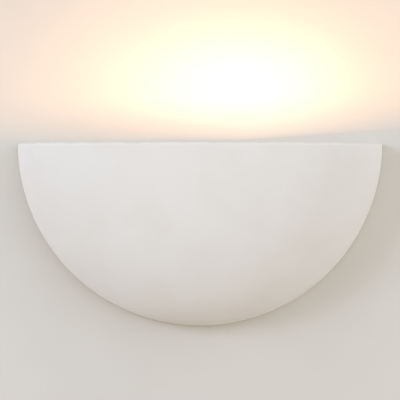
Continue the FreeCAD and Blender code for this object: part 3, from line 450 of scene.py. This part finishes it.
def braidedGlass():
    # glass fibre, braided into a sleeve and varnished: off white, a diamond weave
    material, add, place = startMaterial("braidedGlassSleeve")
    axes = add("SeparateXYZ", place).outputs
    around = add("Math", axes[0], axes[2], operation="ADD")
    strands = []
    for sign in (1, -1):
        slant = add("Math", around, sign, axes[1], operation="MULTIPLY_ADD")
        angle = add("Math", slant, 2 * math.pi * perMm(sleeve["weaveMm"]), operation="MULTIPLY")
        strands.append(add("Math", angle, operation="SINE"))
    weave = add("Math", *strands, operation="MAXIMUM")
    # the gaps between the strands are painted darker, as painted shade
    shade = add("MapRange", weave, -0.2, 0.8, **smooth)
    colour = add("Mix", shade, sleeve["gap"], sleeve["strand"], data_type="RGBA")
    bump = relief(add, (weave, sleeve["weaveHeight"]))
    shader = {"Base Color": colour, "Roughness": sleeve["roughness"], "Normal": bump, "IOR": 1.5}
    add("OutputMaterial", add("BsdfPrincipled", named=shader))
    return material


fastenerNodes = [
    "hanger_screws",
    "chassis_screws",
    "hook_rivets",
    "lamp_bracket_screws",
    "lamp_bracket_nuts",
    "lampholder_terminal_screws",
    "lampholder_screws",
    "terminal_screws",
    "terminal_block_screws",
    "earth_screw",
    "earth_star_washer",
    "earth_nut",
]
finishes = [
    (castPlaster(), ["plaster_bowl"]),
    (zincSheet("zincSheetAlongX", (30, 1, 1)), ["wall_strap", "lamp_bracket"]),
    (zincSheet("zincSheetAlongZ", (1, 1, 30)), ["hanger_right", "hanger_left", "hook_right", "hook_left"]),
    (powderCoat(), ["chassis_box"]),
    (zincScrew(), fastenerNodes),
    (copperAlloy("turnedBrass"), ["bowl_inserts", "lampholder_terminals", "terminal_tubes"]),
    (copperAlloy("nickelPlatedBrass"), ["lampholder_shell", "lamp_cap"]),
    (copperAlloy("rolledSpringBronze"), ["contact_strip", "contact_leaf"]),
    (tinCoat("solderedTip"), ["lamp_tip_contact"]),
    (tinCoat("tinnedCopper"), ["earth_lug", "lamp_leads"]),
    (glazedPorcelain(), ["lampholder_body"]),
    (pressedGlass(), ["lamp_cap_insulator"]),
    (opalDome(), ["lamp_dome"]),
    (moulding("mouldedPbtWhite"), ["lamp_housing"]),
    (moulding("whiteSolderMask"), ["lamp_led_board"]),
    (moulding("phosphorSilicone"), ["lamp_leds"]),
    (circuitBoard(), ["lamp_driver_board"]),
    (moulding("blackEpoxy"), ["lamp_driver_parts"]),
    (moulding("mouldedNylon"), ["terminal_block"]),
    (moulding("mouldedRubber"), ["wire_grommet"]),
    (drawnPvc("bluePvc"), ["neutral_wire"]),
    (drawnPvc("brownPvc"), ["live_wire"]),
    (drawnPvc("greenYellowPvc"), ["earth_wire"]),
    (braidedGlass(), ["heat_sleeves"]),
]
for material, names in finishes:
    for name in names:
        for slot in nodes[name].material_slots:
            slot.material = material
unfinished = set(nodes) - {name for material, names in finishes for name in names}
print("materials:", len(finishes), "- nodes left without one:", sorted(unfinished))


wall = {
    "paint": "#d9d6cf",
    "cloud": "#d5d2cb",
    "size": 2.4,
    "gap": 0.4 * mm,  # keeps it off the bowl's back
    "openInset": 2.4 * mm,  # light passes the wall up to this far inside the bowl's outline
    "liftRoom": 14 * mm,  # how far the bowl is lifted off its hooks
}
lampGlow = {
    "middle": "#ffcfa6",
    "edge": "#ffb45c",
    "x": 45 * mm,  # the lamp lies off the middle
    "left": 146 * mm,
    "right": 107 * mm,
    "peak": 57 * mm,  # above the rim
    "fade": 65 * mm,
    "wide": 280 * mm,
    "coreStrength": 0.78,
    "wideStrength": 0.36,
    "paintedShadowTo": 3 * mm,  # above the rim, up to which the bowl's edge casts a painted shadow on the wall
    "litFrom": 44 * mm,
    "riseCurve": 0.55,  # under 1, the light comes in fast at first
    "tilt": 8 * mm,  # the painted shadow reaches higher on the lamp's side
}


def fallOff(add, *distances):
    # 1 in the middle, falling off smoothly with the square of each distance
    total = 0.0
    for distance in distances:
        total = add("Math", distance, distance, total, operation="MULTIPLY_ADD")
    return add("Math", math.e, add("Math", total, -1.0, operation="MULTIPLY"), operation="POWER")


def openBehind(add, shader, alsoOpen=0.0):
    # clear from its back, so that the object shows in views from behind the wall and under the floor
    behind = add("NewGeometry").outputs["Backfacing"]
    through = add("Math", behind, alsoOpen, operation="MAXIMUM")
    add("OutputMaterial", add("MixShader", through, shader, add("BsdfTransparent")))


def wallPaint():
    # flat emulsion, rolled on: matt warm grey, with the lamp's warm light above the bowl painted on as
    # emission
    material, add, place = startMaterial("flatEmulsion")
    clouds = add("MapRange", cloudy(add, place, 160, 3), *spread, **smooth)
    colour = add("Mix", clouds, wall["paint"], wall["cloud"], data_type="RGBA")
    axes = add("SeparateXYZ", place).outputs
    aboveRim = add("Math", axes[2], rimZ, operation="SUBTRACT")

    # the painted glow is a bright core inside a wide, warmer one, and both start just above the rim, over a
    # painted shadow of the bowl's edge
    fromLamp = add("Math", axes[0], lampGlow["x"], operation="SUBTRACT")
    leftPart = add("Math", fromLamp, 0.0, operation="MINIMUM")
    rightPart = add("Math", fromLamp, 0.0, operation="MAXIMUM")
    left = add("Math", leftPart, lampGlow["left"], operation="DIVIDE")
    right = add("Math", rightPart, lampGlow["right"], operation="DIVIDE")
    up = add("Math", aboveRim, lampGlow["peak"], operation="SUBTRACT")
    core = fallOff(add, left, right, add("Math", up, lampGlow["fade"], operation="DIVIDE"))
    wideOnes = [add("Math", value, lampGlow["wide"], operation="DIVIDE") for value in (fromLamp, up)]
    wide = add("Math", fallOff(add, *wideOnes), lampGlow["wideStrength"], operation="MULTIPLY")
    both = add("Math", core, lampGlow["coreStrength"], wide, operation="MULTIPLY_ADD")
    shadeTop = add("Math", right, lampGlow["tilt"], operation="MULTIPLY")
    aboveShade = add("Math", aboveRim, shadeTop, operation="SUBTRACT")
    share = add("MapRange", aboveShade, lampGlow["paintedShadowTo"], lampGlow["litFrom"])
    rise = add("Math", share, lampGlow["riseCurve"], operation="POWER")
    glow = add("Math", both, rise, operation="MULTIPLY")
    tint = add("Mix", core, lampGlow["edge"], lampGlow["middle"], data_type="RGBA")
    shader = {"Base Color": colour, "Roughness": 0.9, "Emission Color": tint, "Emission Strength": glow}

    # light passes the half circle that the bowl covers, at rest or lifted, so that its back is lit from behind
    sideways = add("Math", axes[0], bowlMiddle.x, operation="SUBTRACT")
    below = add("Math", aboveRim, 0.0, operation="MINIMUM")
    widthSquared = add("Math", sideways, sideways, operation="MULTIPLY")
    squares = add("Math", below, below, widthSquared, operation="MULTIPLY_ADD")
    inCircle = add("Math", squares, (bowlHalf - wall["openInset"]) ** 2, operation="LESS_THAN")
    underRim = add("Math", aboveRim, wall["liftRoom"] - wall["openInset"], operation="LESS_THAN")
    covered = add("Math", inCircle, underRim, operation="MULTIPLY")
    notSeen = add("Math", 1.0, add("LightPath").outputs["Is Camera Ray"], operation="SUBTRACT")
    alsoOpen = add("Math", covered, notSeen, operation="MULTIPLY")
    openBehind(add, add("BsdfPrincipled", named=shader), alsoOpen)
    return material


ground = {
    "bounced": "#c5b5a1",  # the light that it throws up is warm
    "bouncedCloud": "#c4b6a4",
    "seen": "#d6d3cc",
    "drop": 0.75,  # below the fixing slots
    "halfWidth": 6.0,
    "halfDepth": 9.0,
}


def floorPaint():
    # floor paint, rolled on: pale, flat and plain
    material, add, place = startMaterial("paleFloor")
    clouds = add("MapRange", cloudy(add, place, 300, 3), *spread, **smooth)
    bounced = add("Mix", clouds, ground["bounced"], ground["bouncedCloud"], data_type="RGBA")
    seenRay = add("LightPath").outputs["Is Camera Ray"]
    colour = add("Mix", seenRay, bounced, ground["seen"], data_type="RGBA")
    openBehind(add, add("BsdfPrincipled", named={"Base Color": colour, "Roughness": 0.75}))
    return material


def flatPiece(name, corners, material):
    mesh = bpy.data.meshes.new(name)
    mesh.from_pydata(corners, [], [(0, 1, 2, 3)])
    mesh.materials.append(material)
    piece = bpy.data.objects.new(name, mesh)
    bpy.context.scene.collection.objects.link(piece)


unitCorners = [(-1, -1), (1, -1), (1, 1), (-1, 1)]
halfWall = wall["size"] / 2
wallPlane = wallY + wall["gap"]
flatPiece("backdropWall", [(x * halfWall, wallPlane, z * halfWall) for x, z in unitCorners], wallPaint())
floorCorners = [(x * ground["halfWidth"], y * ground["halfDepth"], -ground["drop"]) for x, y in unitCorners]
flatPiece("studioFloor", floorCorners, floorPaint())
print("wall and floor: standing")


softBoxes = {
    "keyLight": {"place": (-2.4, -2.0, 0.85), "watts": 34.0, "size": 1.0, "colour": "#dbe7ff"},
    "fillLight": {"place": (2.5, -2.7, 0.5), "watts": 38.0, "size": 3.0, "colour": "#f0f5ff"},
}
for name, box in softBoxes.items():
    lightData = bpy.data.lights.new(name, "AREA")
    lightData.energy = box["watts"]
    lightData.size = box["size"]
    lightData.color = linearColour(box["colour"])[:3]
    light = bpy.data.objects.new(name, lightData)
    light.location = box["place"]
    light.rotation_euler = (bowlMiddle - Vector(box["place"])).to_track_quat("-Z", "Y").to_euler()
    bpy.context.scene.collection.objects.link(light)

sky = {"strength": 0.83, "background": "#eae8e4"}
world = bpy.data.worlds.new("studioWorld")
bpy.context.scene.world = world
world.use_nodes = True
world.node_tree.nodes.clear()
addSky = partial(addNode, world.node_tree)
rays = addSky("LightPath").outputs
mirrored = addSky("Math", rays["Is Glossy Ray"], rays["Is Transmission Ray"], operation="MAXIMUM")
seenRays = addSky("Math", rays["Is Camera Ray"], mirrored, operation="MAXIMUM")
lightPart = addSky("Background", "#ffffff", sky["strength"])
seenPart = addSky("Background", sky["background"], 1.0)
addSky("OutputWorld", addSky("MixShader", seenRays, lightPart, seenPart))
print("lights:", len(softBoxes), "and the sky")


view = {
    "distance": 4.5,  # a long lens from across the room, a little under the rim
    "height": 1 * mm,
    "bowlShare": 0.91,  # of the picture's width
}
cameraData = bpy.data.cameras.new("photoCamera")
cameraData.lens = cameraData.sensor_width * view["bowlShare"] * view["distance"] / (2 * bowlHalf)
cameraData.clip_end = 30
camera = bpy.data.objects.new("photoCamera", cameraData)
camera.location = (bowlMiddle.x, wallY - view["distance"], view["height"])
camera.rotation_euler = (math.radians(90), 0, 0)
bpy.context.scene.collection.objects.link(camera)
bpy.context.scene.camera = camera
bpy.context.scene.view_settings.view_transform = "Standard"
print("camera: lens of", round(cameraData.lens), "mm")

print("scene ready")
